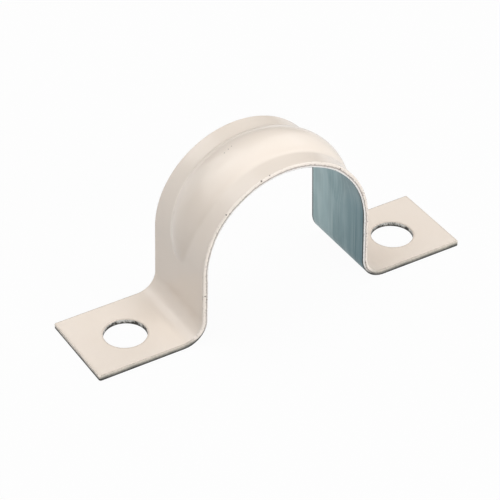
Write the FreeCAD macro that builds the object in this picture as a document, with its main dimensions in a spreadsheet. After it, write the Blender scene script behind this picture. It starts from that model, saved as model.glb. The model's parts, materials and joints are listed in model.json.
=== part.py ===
import FreeCAD, Part
import math
import os
import Sketcher

# Two-hole conduit strap, pressed from one strip of pre-painted sheet.
# The outer form is padded first and gets the rib on its arch. The space under the sheet is
# then cut away, so that one sheet thickness is left everywhere, in the rib too.
# One half is modelled, from the crown to the foot end, and mirrored at the crown.
# X runs along the strip, Y across it and Z up from the wall that the feet lie on.
# The origin is on that wall, under the crown.

NODE = "strap"

# Driving dimensions in millimetres, or degrees where the note says so.
SIZES = [
    ("StripWidth", 17.0, "width of the strip"),
    ("SheetThickness", 1.0, "thickness of the painted sheet"),
    ("OverallLength", 74.8, "from one foot end to the other"),
    ("ArchRadius", 15.9, "inside radius of the arch, on the conduit"),
    ("ArchCentreHeight", 14.0, "height of the arch's centre over the wall"),
    ("LegSplay", 1.3, "degrees that each leg leans out"),
    ("FootBendRadius", 3.7, "radius between leg and foot, on the painted side"),
    ("HoleSpacing", 56.1, "from screw hole to screw hole"),
    ("HoleDiameter", 7.8, "screw hole"),
    ("HoleSideOffset", 0.45, "distance of both holes from the strip's middle, towards -Y"),
    ("RibHeight", 1.6, "height of the rib over the arch"),
    ("RibCrestRadius", 7.4, "radius across the rib's crest"),
    ("RibFootRadius", 1.3, "radius at the foot of the rib, on the painted side"),
    ("RibFullAngle", 25.0, "degrees from the crown over which the rib keeps its height"),
    ("RibEndDrop", 1.5, "how far below the arch's centre the rib has run out, on the leg"),
    ("FootCornerRadius", 0.4, "corners of the feet, seen from above"),
    ("EdgeBevel", 0.2, "bevel that shear and punch leave on the painted side"),
]

# Places that a constraint can refer to: the start, end and centre of a curve, and the axes
START, END, CENTRE = 1, 2, 3
ORIGIN = (-1, 1)
VERTICAL_AXIS = -2

# Distance within which a point counts as lying on a face or a plane
TOLERANCE = 1e-3

# Even steps along an edge at which it is tested
EDGE_STEPS = 4


def make_sheet(doc):
    """Spreadsheet with one aliased cell per driving dimension."""
    sheet = doc.addObject("Spreadsheet::Sheet", "Sizes")
    for row, (alias, value, note) in enumerate(SIZES, start=1):
        sheet.set(f"A{row}", alias)
        sheet.set(f"B{row}", str(value))
        sheet.set(f"C{row}", note)
        sheet.setAlias(f"B{row}", alias)
    doc.recompute()
    return sheet


def origin_plane(body, role):
    """The body's own origin plane with this role."""
    return next(item for item in body.Origin.OriginFeatures if item.Role == role)


def new_sketch(body, name, role):
    """Sketch on one of the body's origin planes."""
    sketch = body.newObject("Sketcher::SketchObject", name)
    sketch.AttachmentSupport = [(origin_plane(body, role), "")]
    sketch.MapMode = "FlatFace"
    return sketch


def add_line(sketch, start, end, construction=False):
    """Add a line and return its number."""
    segment = Part.LineSegment(FreeCAD.Vector(*start, 0), FreeCAD.Vector(*end, 0))
    return sketch.addGeometry(segment, construction)


def add_arc(sketch, centre, radius, first, last):
    """Add an arc that runs counterclockwise between two angles in radians."""
    circle = Part.Circle(FreeCAD.Vector(*centre, 0), FreeCAD.Vector(0, 0, 1), radius)
    return sketch.addGeometry(Part.ArcOfCircle(circle, first, last), False)


def relate(sketch, kind, *where):
    """Add a geometric constraint."""
    sketch.addConstraint(Sketcher.Constraint(kind, *where))


def dimension(sketch, name, formula, kind, *where):
    """Add a dimension and bind it to the sizes."""
    number = sketch.addConstraint(Sketcher.Constraint(kind, *where))
    sketch.renameConstraint(number, name)
    sketch.setExpression(f"Constraints.{name}", formula)


def add_skin(sketch, sizes, offset, offset_term):
    """Half outline of one face of the sheet, from the crown to the end of the bend.

    offset is 0 for the face on the conduit and the sheet thickness for the painted face.
    Returns the numbers of the arch and the bend, and the x where the bend meets the foot.
    """
    lean = math.radians(sizes.LegSplay)
    arch_radius = sizes.ArchRadius + offset
    bend_radius = sizes.FootBendRadius + sizes.SheetThickness - offset
    bend_height = sizes.FootBendRadius + sizes.SheetThickness
    leg_top_x = arch_radius * math.cos(lean)
    leg_top_z = sizes.ArchCentreHeight + arch_radius * math.sin(lean)
    leg_end_z = bend_height - bend_radius * math.sin(lean)
    leg_end_x = leg_top_x + (leg_top_z - leg_end_z) * math.tan(lean)
    bend_x = leg_end_x + bend_radius * math.cos(lean)

    arch = add_arc(sketch, (0, sizes.ArchCentreHeight), arch_radius, lean, math.pi / 2)
    leg = add_line(sketch, (leg_top_x, leg_top_z), (leg_end_x, leg_end_z))
    bend = add_arc(sketch, (bend_x, bend_height), bend_radius, math.pi + lean, 1.5 * math.pi)

    relate(sketch, "PointOnObject", arch, CENTRE, VERTICAL_AXIS)
    relate(sketch, "Tangent", arch, START, leg, START)
    relate(sketch, "Tangent", leg, END, bend, START)
    relate(sketch, "Vertical", bend, CENTRE, bend, END)
    dimension(sketch, "ArchHeight", "Sizes.ArchCentreHeight",
              "DistanceY", *ORIGIN, arch, CENTRE, sizes.ArchCentreHeight)
    dimension(sketch, "SkinRadius", f"Sizes.ArchRadius + {offset_term}",
              "Radius", arch, arch_radius)
    dimension(sketch, "LegDirection", "Sizes.LegSplay - 90",
              "Angle", leg, lean - math.pi / 2)
    dimension(sketch, "BendRadius", f"Sizes.FootBendRadius + Sizes.SheetThickness - {offset_term}",
              "Radius", bend, bend_radius)
    dimension(sketch, "BendHeight", "Sizes.FootBendRadius + Sizes.SheetThickness",
              "DistanceY", *ORIGIN, bend, CENTRE, bend_height)
    return arch, bend, bend_x


def close_outline(sketch, first, corners, last):
    """Join the end of one curve to another's with level and upright lines.

    first and last are (curve, place) pairs, and corners are the points on the way.
    Returns the numbers of the lines.
    """
    joint = first
    lines = []
    for start, end in zip(corners, corners[1:]):
        number = add_line(sketch, start, end)
        level = abs(start[1] - end[1]) < abs(start[0] - end[0])
        relate(sketch, "Horizontal" if level else "Vertical", number)
        relate(sketch, "Coincident", *joint, number, START)
        joint = (number, END)
        lines.append(number)
    relate(sketch, "Coincident", *joint, *last)
    return lines


def outer_sketch(body, sizes):
    """Area under the painted face, from the crown to the foot end."""
    sketch = new_sketch(body, "OuterProfile", "XZ_Plane")
    foot_top = sizes.SheetThickness
    foot_end = sizes.OverallLength / 2
    crown = sizes.ArchCentreHeight + sizes.ArchRadius + sizes.SheetThickness
    arch, bend, bend_x = add_skin(sketch, sizes, foot_top, "Sizes.SheetThickness")
    corners = [(bend_x, foot_top), (foot_end, foot_top), (foot_end, 0), (0, 0), (0, crown)]
    lines = close_outline(sketch, (bend, END), corners, (arch, END))
    relate(sketch, "Coincident", lines[2], END, *ORIGIN)
    dimension(sketch, "HalfLength", "Sizes.OverallLength / 2",
              "DistanceX", lines[2], END, lines[2], START, foot_end)
    return sketch


def conduit_sketch(body, sizes):
    """Area under the sheet that the conduit passes through, open below the wall line."""
    sketch = new_sketch(body, "ConduitProfile", "XZ_Plane")
    crown = sizes.ArchCentreHeight + sizes.ArchRadius
    below = -sizes.SheetThickness
    arch, bend, bend_x = add_skin(sketch, sizes, 0, "0")
    corners = [(bend_x, 0), (bend_x, below), (0, below), (0, crown)]
    lines = close_outline(sketch, (bend, END), corners, (arch, END))
    relate(sketch, "PointOnObject", arch, END, VERTICAL_AXIS)
    dimension(sketch, "Below", "Sizes.SheetThickness",
              "DistanceY", lines[0], END, lines[0], START, sizes.SheetThickness)
    return sketch


def ridge_sketch(body, sizes):
    """Path of the rib's ridge, from the crown down into the painted face of the leg.

    A crown arc keeps the full height, a tighter arc runs out on the leg below the arch's
    centre, and a short straight tail goes on into the sheet.
    """
    sketch = new_sketch(body, "RidgePath", "XZ_Plane")
    lean = math.radians(sizes.LegSplay)
    full = math.radians(90 - sizes.RibFullAngle)
    skin_radius = sizes.ArchRadius + sizes.SheetThickness
    ridge_radius = skin_radius + sizes.RibHeight
    height = sizes.ArchCentreHeight
    full_x = ridge_radius * math.cos(full)
    full_z = ridge_radius * math.sin(full)
    leg_x = skin_radius * math.cos(lean)
    leg_z = skin_radius * math.sin(lean)
    end_x = leg_x + (leg_z + sizes.RibEndDrop) * math.tan(lean)
    end_z = -sizes.RibEndDrop
    end_reach = math.hypot(end_x, end_z)
    end_along = end_x * math.cos(full) + end_z * math.sin(full)
    shift = (ridge_radius ** 2 - end_reach ** 2) / (2 * (ridge_radius - end_along))
    runout_x = shift * math.cos(full)
    runout_z = shift * math.sin(full)
    end_turn = math.atan2(end_z - runout_z, end_x - runout_x)
    tail = 2 * sizes.RibHeight
    tail_x = end_x + tail * math.sin(end_turn)
    tail_z = end_z - tail * math.cos(end_turn)

    def lifted(x, z):
        return x, height + z

    crown = add_arc(sketch, lifted(0, 0), ridge_radius, full, math.pi / 2)
    runout = add_arc(sketch, lifted(runout_x, runout_z), ridge_radius - shift, end_turn, full)
    straight = add_line(sketch, lifted(end_x, end_z), lifted(tail_x, tail_z))
    to_full = add_line(sketch, lifted(0, 0), lifted(full_x, full_z), construction=True)
    to_leg = add_line(sketch, lifted(0, 0), lifted(leg_x, leg_z), construction=True)
    leg = add_line(sketch, lifted(leg_x, leg_z), lifted(end_x, end_z), construction=True)

    relate(sketch, "PointOnObject", crown, CENTRE, VERTICAL_AXIS)
    relate(sketch, "PointOnObject", crown, END, VERTICAL_AXIS)
    relate(sketch, "Tangent", crown, START, runout, END)
    relate(sketch, "Tangent", runout, START, straight, START)
    relate(sketch, "Coincident", to_full, START, crown, CENTRE)
    relate(sketch, "Coincident", to_full, END, crown, START)
    relate(sketch, "Coincident", to_leg, START, crown, CENTRE)
    relate(sketch, "Coincident", to_leg, END, leg, START)
    relate(sketch, "Perpendicular", to_leg, leg)
    relate(sketch, "Coincident", leg, END, runout, START)
    dimension(sketch, "ArchHeight", "Sizes.ArchCentreHeight",
              "DistanceY", *ORIGIN, crown, CENTRE, height)
    dimension(sketch, "RidgeRadius", "Sizes.ArchRadius + Sizes.SheetThickness + Sizes.RibHeight",
              "Radius", crown, ridge_radius)
    dimension(sketch, "FullAngle", "90 - Sizes.RibFullAngle", "Angle", to_full, full)
    dimension(sketch, "LegDirection", "Sizes.LegSplay", "Angle", to_leg, lean)
    dimension(sketch, "SkinRadius", "Sizes.ArchRadius + Sizes.SheetThickness",
              "Distance", to_leg, skin_radius)
    dimension(sketch, "EndDrop", "Sizes.RibEndDrop",
              "DistanceY", runout, START, crown, CENTRE, sizes.RibEndDrop)
    dimension(sketch, "Tail", "2 * Sizes.RibHeight", "Distance", straight, tail)
    return sketch


def crest_sketch(body, sizes, name, offset, offset_term):
    """Section across the rib's crest at the crown, closed by a chord below the skin.

    offset is 0 for the hollow under the rib and the sheet thickness for its painted face.
    """
    sketch = new_sketch(body, name, "YZ_Plane")
    radius = sizes.RibCrestRadius - sizes.SheetThickness + offset
    skin_height = sizes.ArchCentreHeight + sizes.ArchRadius + offset
    centre_height = skin_height + sizes.RibHeight - radius
    chord_height = skin_height - sizes.SheetThickness
    turn = math.asin((chord_height - centre_height) / radius)
    half_chord = radius * math.cos(turn)
    crest = add_arc(sketch, (0, centre_height), radius, turn, math.pi - turn)
    chord = add_line(sketch, (-half_chord, chord_height), (half_chord, chord_height))
    relate(sketch, "PointOnObject", crest, CENTRE, VERTICAL_AXIS)
    relate(sketch, "Coincident", chord, START, crest, END)
    relate(sketch, "Coincident", chord, END, crest, START)
    relate(sketch, "Horizontal", chord)
    dimension(sketch, "CrestRadius", f"Sizes.RibCrestRadius - Sizes.SheetThickness + {offset_term}",
              "Radius", crest, radius)
    dimension(sketch, "CentreHeight",
              "Sizes.ArchCentreHeight + Sizes.ArchRadius + Sizes.RibHeight"
              " + Sizes.SheetThickness - Sizes.RibCrestRadius",
              "DistanceY", *ORIGIN, crest, CENTRE, centre_height)
    dimension(sketch, "ChordHeight",
              f"Sizes.ArchCentreHeight + Sizes.ArchRadius - Sizes.SheetThickness + {offset_term}",
              "DistanceY", *ORIGIN, chord, START, chord_height)
    return sketch


def hole_sketch(body, sizes):
    """Screw hole in the foot."""
    sketch = new_sketch(body, "HoleProfile", "XY_Plane")
    centre = FreeCAD.Vector(sizes.HoleSpacing / 2, -sizes.HoleSideOffset, 0)
    circle = Part.Circle(centre, FreeCAD.Vector(0, 0, 1), sizes.HoleDiameter / 2)
    hole = sketch.addGeometry(circle, False)
    dimension(sketch, "Diameter", "Sizes.HoleDiameter", "Diameter", hole, sizes.HoleDiameter)
    dimension(sketch, "HalfSpacing", "Sizes.HoleSpacing / 2",
              "DistanceX", *ORIGIN, hole, CENTRE, centre.x)
    dimension(sketch, "SideOffset", "Sizes.HoleSideOffset",
              "DistanceY", hole, CENTRE, *ORIGIN, -centre.y)
    return sketch


def checked(doc, feature, change):
    """Recompute and make sure that the feature changed the solid's volume the right way.

    change is 1 for a feature that adds material and -1 for one that removes it.
    """
    doc.recompute()
    base = feature.BaseFeature
    before = base.Shape.Volume if base else 0
    if (feature.Shape.Volume - before) * change <= 0:
        raise RuntimeError(f"{feature.Name} left the solid as it was")
    return feature


def edges_where(shape, test):
    """Names of the edges with every sampled point inside the test."""
    names = []
    for number, edge in enumerate(shape.Edges, start=1):
        first, last = edge.ParameterRange
        stride = (last - first) / EDGE_STEPS
        samples = [edge.valueAt(first + stride * step) for step in range(EDGE_STEPS + 1)]
        if all(test(sample) for sample in samples):
            names.append(f"Edge{number}")
    return names


def on_arch(sizes, sample, radius):
    """Whether a point lies on an arch face of this radius, away from the strip's edges."""
    above = sample.z > sizes.ArchCentreHeight
    reach = math.hypot(sample.x, sample.z - sizes.ArchCentreHeight)
    inboard = abs(sample.y) < sizes.StripWidth / 2 - TOLERANCE
    return above and inboard and sample.x > -TOLERANCE and abs(reach - radius) < TOLERANCE


def dress_edges(doc, base, name, kind, formula, test, change):
    """Round or bevel the edges of the base that pass the test.

    kind is Fillet or Chamfer, formula gives its size and change is as for checked().
    """
    body = base.getParentGeoFeatureGroup()
    dressing = body.newObject(f"PartDesign::{kind}", name)
    dressing.Base = (base, edges_where(base.Shape, test))
    dressing.setExpression("Radius" if kind == "Fillet" else "Size", formula)
    return checked(doc, dressing, change)


def outer_form(doc, body, sizes):
    """Everything under the painted face, as one solid block."""
    pad = body.newObject("PartDesign::Pad", "OuterForm")
    pad.Profile = outer_sketch(body, sizes)
    pad.SideType = "Symmetric"
    pad.setExpression("Length", "Sizes.StripWidth")
    checked(doc, pad, 1)


def add_rib(doc, body, sizes, ridge):
    """The rib's painted face, swept along the ridge and blended into the arch."""
    rib = body.newObject("PartDesign::AdditivePipe", "Rib")
    rib.Profile = crest_sketch(body, sizes, "RibSection",
                               sizes.SheetThickness, "Sizes.SheetThickness")
    rib.Spine = ridge
    checked(doc, rib, 1)
    skin_radius = sizes.ArchRadius + sizes.SheetThickness

    def rib_foot(sample):
        return on_arch(sizes, sample, skin_radius)

    return dress_edges(doc, rib, "RibFoot", "Fillet", "Sizes.RibFootRadius", rib_foot, 1)


def round_corners(doc, sizes, base):
    """Foot corners, then the bevelled painted edge all round the strip."""
    foot_end = sizes.OverallLength / 2

    def at_side(sample):
        return abs(abs(sample.y) - sizes.StripWidth / 2) < TOLERANCE

    def foot_corner(sample):
        return at_side(sample) and abs(sample.x - foot_end) < TOLERANCE

    def painted_edge(sample):
        at_end = sample.x > foot_end - sizes.FootCornerRadius - TOLERANCE
        on_top = sample.z > sizes.SheetThickness - TOLERANCE
        return on_top and (at_side(sample) or at_end)

    corners = dress_edges(doc, base, "FootCorners", "Fillet",
                          "Sizes.FootCornerRadius", foot_corner, -1)
    dress_edges(doc, corners, "StripEdge", "Chamfer", "Sizes.EdgeBevel", painted_edge, -1)


def cut_conduit_space(doc, body, sizes):
    """Remove what is under the sheet."""
    pocket = body.newObject("PartDesign::Pocket", "ConduitSpace")
    pocket.Profile = conduit_sketch(body, sizes)
    pocket.SideType = "Symmetric"
    pocket.setExpression("Length", "2 * Sizes.StripWidth")
    checked(doc, pocket, -1)


def cut_rib_hollow(doc, body, sizes, ridge):
    """Hollow under the rib, one sheet thickness inside its painted face."""
    hollow = body.newObject("PartDesign::SubtractivePipe", "RibHollow")
    hollow.Profile = crest_sketch(body, sizes, "HollowSection", 0, "0")
    hollow.Spine = ridge
    checked(doc, hollow, -1)

    def hollow_mouth(sample):
        return on_arch(sizes, sample, sizes.ArchRadius)

    dress_edges(doc, hollow, "HollowMouth", "Fillet",
                "Sizes.RibFootRadius + Sizes.SheetThickness", hollow_mouth, -1)


def cut_hole(doc, body, sizes):
    """Punched screw hole with a bevelled rim on the painted side."""
    hole = body.newObject("PartDesign::Pocket", "ScrewHole")
    hole.Profile = hole_sketch(body, sizes)
    hole.SideType = "Symmetric"
    hole.setExpression("Length", "4 * Sizes.SheetThickness")
    checked(doc, hole, -1)
    centre_x = sizes.HoleSpacing / 2

    def upper_rim(sample):
        reach = math.hypot(sample.x - centre_x, sample.y + sizes.HoleSideOffset)
        on_rim = abs(reach - sizes.HoleDiameter / 2) < TOLERANCE
        return on_rim and abs(sample.z - sizes.SheetThickness) < TOLERANCE

    dress_edges(doc, hole, "HoleRim", "Chamfer", "Sizes.EdgeBevel", upper_rim, -1)


def mirror_half(doc, body):
    """The other half, joined at the crown."""
    mirrored = body.newObject("PartDesign::Mirrored", "OtherHalf")
    mirrored.TransformMode = "Whole shape"
    mirrored.MirrorPlane = (origin_plane(body, "YZ_Plane"), [""])
    body.Tip = mirrored
    doc.recompute()


def make_strap(doc, sizes):
    """The whole strap as one body."""
    body = doc.addObject("PartDesign::Body", NODE)
    body.Label = NODE
    outer_form(doc, body, sizes)
    ridge = ridge_sketch(body, sizes)
    rib = add_rib(doc, body, sizes, ridge)
    round_corners(doc, sizes, rib)
    cut_conduit_space(doc, body, sizes)
    cut_rib_hollow(doc, body, sizes, ridge)
    cut_hole(doc, body, sizes)
    mirror_half(doc, body)
    return body


def check(doc, body):
    """Stop if an object failed or the strap isn't one sound solid."""
    for item in doc.Objects:
        if "Invalid" in item.State or "Error" in item.State:
            raise RuntimeError(f"{item.Name} failed")
    for item in doc.findObjects("Part::Feature"):
        if item.Shape.isNull() or not item.Shape.isValid():
            raise RuntimeError(f"{item.Name} has no sound shape")
    for sketch in doc.findObjects("Sketcher::SketchObject"):
        if not sketch.FullyConstrained:
            raise RuntimeError(f"{sketch.Name} isn't fully constrained")
    if len(body.Shape.Solids) != 1:
        raise RuntimeError(f"{body.Label} isn't one solid")


def main():
    """Build the strap, check it and write its STEP file."""
    doc = FreeCAD.newDocument("ConduitStrap")
    sizes = make_sheet(doc)
    strap = make_strap(doc, sizes)
    doc.recompute()
    check(doc, strap)
    os.makedirs("parts", exist_ok=True)
    strap.Shape.exportStep(f"parts/{NODE}.step")
    box = strap.Shape.optimalBoundingBox()
    print(f"{NODE}: {box.XLength:.2f} x {box.YLength:.2f} x {box.ZLength:.2f} mm,"
          f" {strap.Shape.Volume:.1f} mm3")


main()
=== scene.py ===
"""Looks of a two-hole conduit strap: cream coil paint outside, galvanised steel inside."""

import json
import logging
import math
from dataclasses import dataclass, field
from enum import Enum
from typing import NamedTuple

import bpy
import numpy as np
from mathutils import Matrix, Vector


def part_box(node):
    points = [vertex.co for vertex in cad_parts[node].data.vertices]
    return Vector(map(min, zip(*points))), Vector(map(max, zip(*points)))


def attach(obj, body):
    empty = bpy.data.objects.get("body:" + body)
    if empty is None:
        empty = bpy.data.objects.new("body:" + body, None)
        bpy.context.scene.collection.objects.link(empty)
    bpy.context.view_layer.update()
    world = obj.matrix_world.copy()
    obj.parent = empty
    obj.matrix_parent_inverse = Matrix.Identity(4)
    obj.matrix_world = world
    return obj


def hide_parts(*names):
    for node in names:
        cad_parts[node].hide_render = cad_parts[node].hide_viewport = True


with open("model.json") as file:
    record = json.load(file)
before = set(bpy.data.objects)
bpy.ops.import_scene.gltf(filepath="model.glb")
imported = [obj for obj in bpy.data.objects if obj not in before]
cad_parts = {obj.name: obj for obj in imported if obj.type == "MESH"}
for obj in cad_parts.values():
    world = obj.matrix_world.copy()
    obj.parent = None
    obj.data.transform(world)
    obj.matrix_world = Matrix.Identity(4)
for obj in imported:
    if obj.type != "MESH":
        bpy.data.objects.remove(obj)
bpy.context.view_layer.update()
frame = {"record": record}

MM = 0.001
# Places on the flat pattern that lie nearer to each other than this are one point.
SAME_PLACE = 1e-8
LOG = logging.getLogger("conduit_strap")

Place = tuple[float, float]
Span = tuple[float, float]
Stops = tuple[tuple[float, str], ...]


class Surface(Enum):
    """The four surfaces of the strip, numbered as their material slots are."""

    PAINTED = 0
    GALVANISED = 1
    SHEARED = 2
    PUNCHED = 3


def mount(name: str) -> dict:
    """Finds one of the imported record's mounts.

    Args:
        name: the mount's name.

    Returns:
        The mount's own entry.
    """
    return next(m for m in frame["record"]["mounts"] if m["name"] == name)


def linear(hex_colour: str) -> tuple[float, float, float, float]:
    """Turns an sRGB hex colour to linear light, by the curve of the sRGB standard.

    Args:
        hex_colour: six hex digits, such as "ebdfd0".

    Returns:
        Red, green, blue and an alpha of one.
    """
    shares = [int(hex_colour[i:i + 2], 16) / 255 for i in (0, 2, 4)]
    light = [s / 12.92 if s <= 0.04045 else ((s + 0.055) / 1.055) ** 2.4 for s in shares]
    return (light[0], light[1], light[2], 1.0)


def add_node(tree: bpy.types.NodeTree, kind: str, settings: dict | None = None,
             links: dict | None = None) -> bpy.types.Node:
    """Adds a node with its settings and links.

    Args:
        tree: the node tree that gets the node.
        kind: the node's type name.
        settings: the node's own properties by name, and its sockets' values by name or number.
        links: the output socket that feeds each input socket, by name or number.

    Returns:
        The new node.
    """
    node = tree.nodes.new(kind)
    for key, value in (settings or {}).items():
        if isinstance(key, str) and hasattr(node, key):
            setattr(node, key, value)
        else:
            node.inputs[key].default_value = value
    for key, source in (links or {}).items():
        tree.links.new(source, node.inputs[key])
    return node


def start_material(name: str, metallic: float) -> tuple[bpy.types.Material, bpy.types.Node]:
    """Starts a material.

    Args:
        name: the material's name.
        metallic: one for bare metal, nothing for paint.

    Returns:
        The material and its surface shader.
    """
    material = bpy.data.materials.new(name)
    material.use_nodes = True
    shader = material.node_tree.nodes["Principled BSDF"]
    shader.inputs["Metallic"].default_value = metallic
    return material, shader


@dataclass(frozen=True)
class BentStrip:
    """The strip without its rib: a half-round arch, two leaning legs, two bends and two flat feet.

    The arch radius is that of the bare inner face, and the bend radius that of the painted face.
    """

    length: float
    width: float
    sheet: float
    arch_radius: float
    arch_centre_height: float
    splay: float = math.radians(1.3)
    bend_radius: float = 3.7 * MM

    @property
    def outer_radius(self) -> float:
        """Radius of the arch's painted face."""
        return self.arch_radius + self.sheet

    @property
    def arch_angle(self) -> float:
        """Angle from the crown at which the arch meets the leg."""
        return math.pi / 2 - self.splay

    @property
    def leg_top(self) -> Place:
        """Where the painted arch meets the painted leg, as x and z."""
        return (self.outer_radius * math.cos(self.splay),
                self.arch_centre_height + self.outer_radius * math.sin(self.splay))

    @property
    def leg_length(self) -> float:
        """Length of the leg's straight part on the painted face."""
        rise = self.leg_top[1] + self.bend_radius * math.sin(self.splay)
        return (rise - self.sheet - self.bend_radius) / math.cos(self.splay)

    @property
    def bend_centre(self) -> Place:
        """Centre of the bend between leg and foot, as x and z."""
        along = self.leg_length * math.sin(self.splay)
        return (self.leg_top[0] + along + self.bend_radius * math.cos(self.splay),
                self.sheet + self.bend_radius)

    @property
    def stations(self) -> tuple[float, float, float, float]:
        """Distances from the crown, on the painted face, to the ends of arch, leg, bend and foot."""
        arch = self.outer_radius * self.arch_angle
        leg = arch + self.leg_length
        bend = leg + self.bend_radius * self.arch_angle
        return (arch, leg, bend, bend + self.length / 2 - self.bend_centre[0])

    @property
    def flat_length(self) -> float:
        """Length of the painted face when it is laid flat."""
        return 2 * self.stations[3]

    def station_at(self, x: float) -> float:
        """Distance from the crown to a place on the foot.

        Args:
            x: how far the place is from the strap's middle.

        Returns:
            The distance on the painted face.
        """
        return self.stations[2] + x - self.bend_centre[0]

    def skin(self, s: np.ndarray) -> tuple[np.ndarray, np.ndarray]:
        """Follows the painted face without its rib.

        Args:
            s: distances from the crown, negative to the left.

        Returns:
            Points (x, z) of the painted face and its unit normals.
        """
        side, run = np.sign(s), np.abs(s)
        arch, leg, bend, _ = self.stations
        lean, top, centre = self.splay, self.leg_top, self.bend_centre
        turn = np.clip(run, 0, arch) / self.outer_radius
        down = np.clip(run - arch, 0, leg - arch)
        curl = np.clip(run - leg, 0, bend - leg) / self.bend_radius
        out = np.maximum(run - bend, 0)
        on_arch, on_leg, on_bend = run <= arch, run <= leg, run <= bend
        angle = np.where(on_leg, turn, self.arch_angle - curl)
        normal = np.stack([np.sin(angle), np.cos(angle)], -1)
        x = np.select(
            [on_arch, on_leg, on_bend],
            [self.outer_radius * np.sin(turn), top[0] + down * math.sin(lean),
             centre[0] - self.bend_radius * normal[:, 0]], centre[0] + out)
        z = np.select(
            [on_arch, on_leg, on_bend],
            [self.arch_centre_height + self.outer_radius * np.cos(turn),
             top[1] - down * math.cos(lean), centre[1] - self.bend_radius * normal[:, 1]],
            self.sheet)
        normal[:, 0] *= side
        return np.stack([x * side, z], -1), normal


@dataclass(frozen=True)
class PressedRib:
    """The stiffening rib pressed up along the arch's middle, which runs out on both legs.

    Its ridge keeps its height up to the full angle from the crown. It ends the end drop below
    the arch's centre, where the fillet at its foot grows by the end softness.
    """

    strip: BentStrip
    height: float
    crest_radius: float = 7.4 * MM
    foot_radius: float = 1.3 * MM
    full_angle: float = math.radians(25.0)
    end_drop: float = 1.5 * MM
    end_softness: float = 4.0 * MM

    @property
    def ridge_radius(self) -> float:
        """Radius of the rib's ridge over the crown."""
        return self.strip.outer_radius + self.height

    @property
    def blend_reach(self) -> float:
        """Distance between the middles of the crest's circle and the foot's circle."""
        return self.crest_radius + self.foot_radius

    def run_out(self) -> tuple[float, np.ndarray]:
        """Finds the arc on which the ridge comes down to the leg.

        Returns:
            The arc's radius and its centre (x, z), measured from the arch's centre.
        """
        strip, ridge = self.strip, self.ridge_radius
        top = (strip.leg_top[0], strip.leg_top[1] - strip.arch_centre_height)
        end = np.array([top[0] + (top[1] + self.end_drop) * math.tan(strip.splay), -self.end_drop])
        toward = np.array([math.sin(self.full_angle), math.cos(self.full_angle)])
        shift = (ridge ** 2 - end @ end) / (2 * (ridge - end @ toward))
        return ridge - shift, shift * toward

    def ridge_height(self, s: np.ndarray) -> np.ndarray:
        """Height of the ridge over the painted face.

        Args:
            s: distances from the crown.

        Returns:
            Heights, zero where the rib has run out.
        """
        points, normals = self.strip.skin(np.abs(s))
        points = points - np.array([0, self.strip.arch_centre_height])
        radius, centre = self.run_out()
        full = np.abs(s) < self.strip.outer_radius * self.full_angle
        offset = np.where(full[:, None], points, points - centre)
        reach = np.where(full, self.ridge_radius, radius)
        out = np.sum(offset * normals, -1)
        square = out ** 2 - np.sum(offset ** 2, -1) + reach ** 2
        height = np.sqrt(np.maximum(square, 0)) - out
        on_rib = (square > 0) & (np.abs(s) < self.strip.stations[1])
        return np.where(on_rib, np.clip(height, 0, self.height), 0)

    def rise(self, s: np.ndarray, y: np.ndarray, depth: float) -> np.ndarray:
        """How far the sheet is pressed out at each place.

        Args:
            s: distances from the crown.
            y: distances from the strip's middle line.
            depth: how far under the painted face, from nothing to the sheet's thickness.

        Returns:
            The rise along the painted face's normal.
        """
        height = self.ridge_height(s)
        softer = self.end_softness * (1 - height / self.height)
        crest, foot = self.crest_radius - depth, self.foot_radius + softer + depth
        reach, across = self.blend_reach + softer, np.abs(y)
        half = np.sqrt(np.maximum(reach ** 2 - (reach - height) ** 2, 0))
        turn = half * crest / reach
        dome = height - crest + np.sqrt(np.maximum(crest ** 2 - across ** 2, 0))
        sweep = foot - np.sqrt(np.maximum(foot ** 2 - (half - across) ** 2, 0))
        return np.select([across <= turn, across < half], [dome, sweep], 0.0)


@dataclass(frozen=True)
class ScrewHole:
    """A punched hole in a foot, by its middle's distance from the crown and off the middle line."""

    station: float
    across: float
    radius: float


@dataclass(frozen=True)
class CutEdge:
    """The section that shearing or punching leaves on the sheet: rolled paint, then a bare wall.

    The roll is the radius of the drawn-down corner, which may differ across the strip's ends.
    The inset line, where the flat pattern's cells end, lies the inset within the wall.
    """

    sheet: float
    roll: float
    end_roll: float
    roll_surface: Surface
    surface: Surface
    inset: float = 0.4 * MM
    burr_bevel: float = 0.06 * MM
    roll_steps: int = 6
    wall_steps: int = 5

    def rings(self, end_share: float) -> list[Place]:
        """Lists the section's points from the painted face to the inner face.

        Args:
            end_share: one where the cut runs across the strip's end, nothing along its sides.

        Returns:
            How far outward each point is from the inset line, and how deep it is.
        """
        roll = self.roll + (self.end_roll - self.roll) * end_share
        flat = self.inset - roll
        angles = [math.pi / 2 * i / self.roll_steps for i in range(self.roll_steps + 1)]
        points = [(flat + roll * math.sin(a), roll * (1 - math.cos(a))) for a in angles]
        floor = self.sheet - self.burr_bevel
        for i in range(1, self.wall_steps + 1):
            points.append((self.inset, roll + (floor - roll) * i / self.wall_steps))
        points.append((self.inset - self.burr_bevel, self.sheet))
        return points

    def surface_at(self, band: int, bands: int) -> Surface:
        """Tells which surface a band of the section belongs to.

        Args:
            band: the band's number, from the painted face.
            bands: how many bands the section has.

        Returns:
            The surface.
        """
        if band == 0:
            return Surface.PAINTED
        if band == bands - 1:
            return Surface.GALVANISED
        return self.roll_surface if band <= self.roll_steps else self.surface


class BorderPoint(NamedTuple):
    """A point on the flat pattern's border, by its number, with the way out along and across."""

    point: int
    along: float
    across: float


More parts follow.
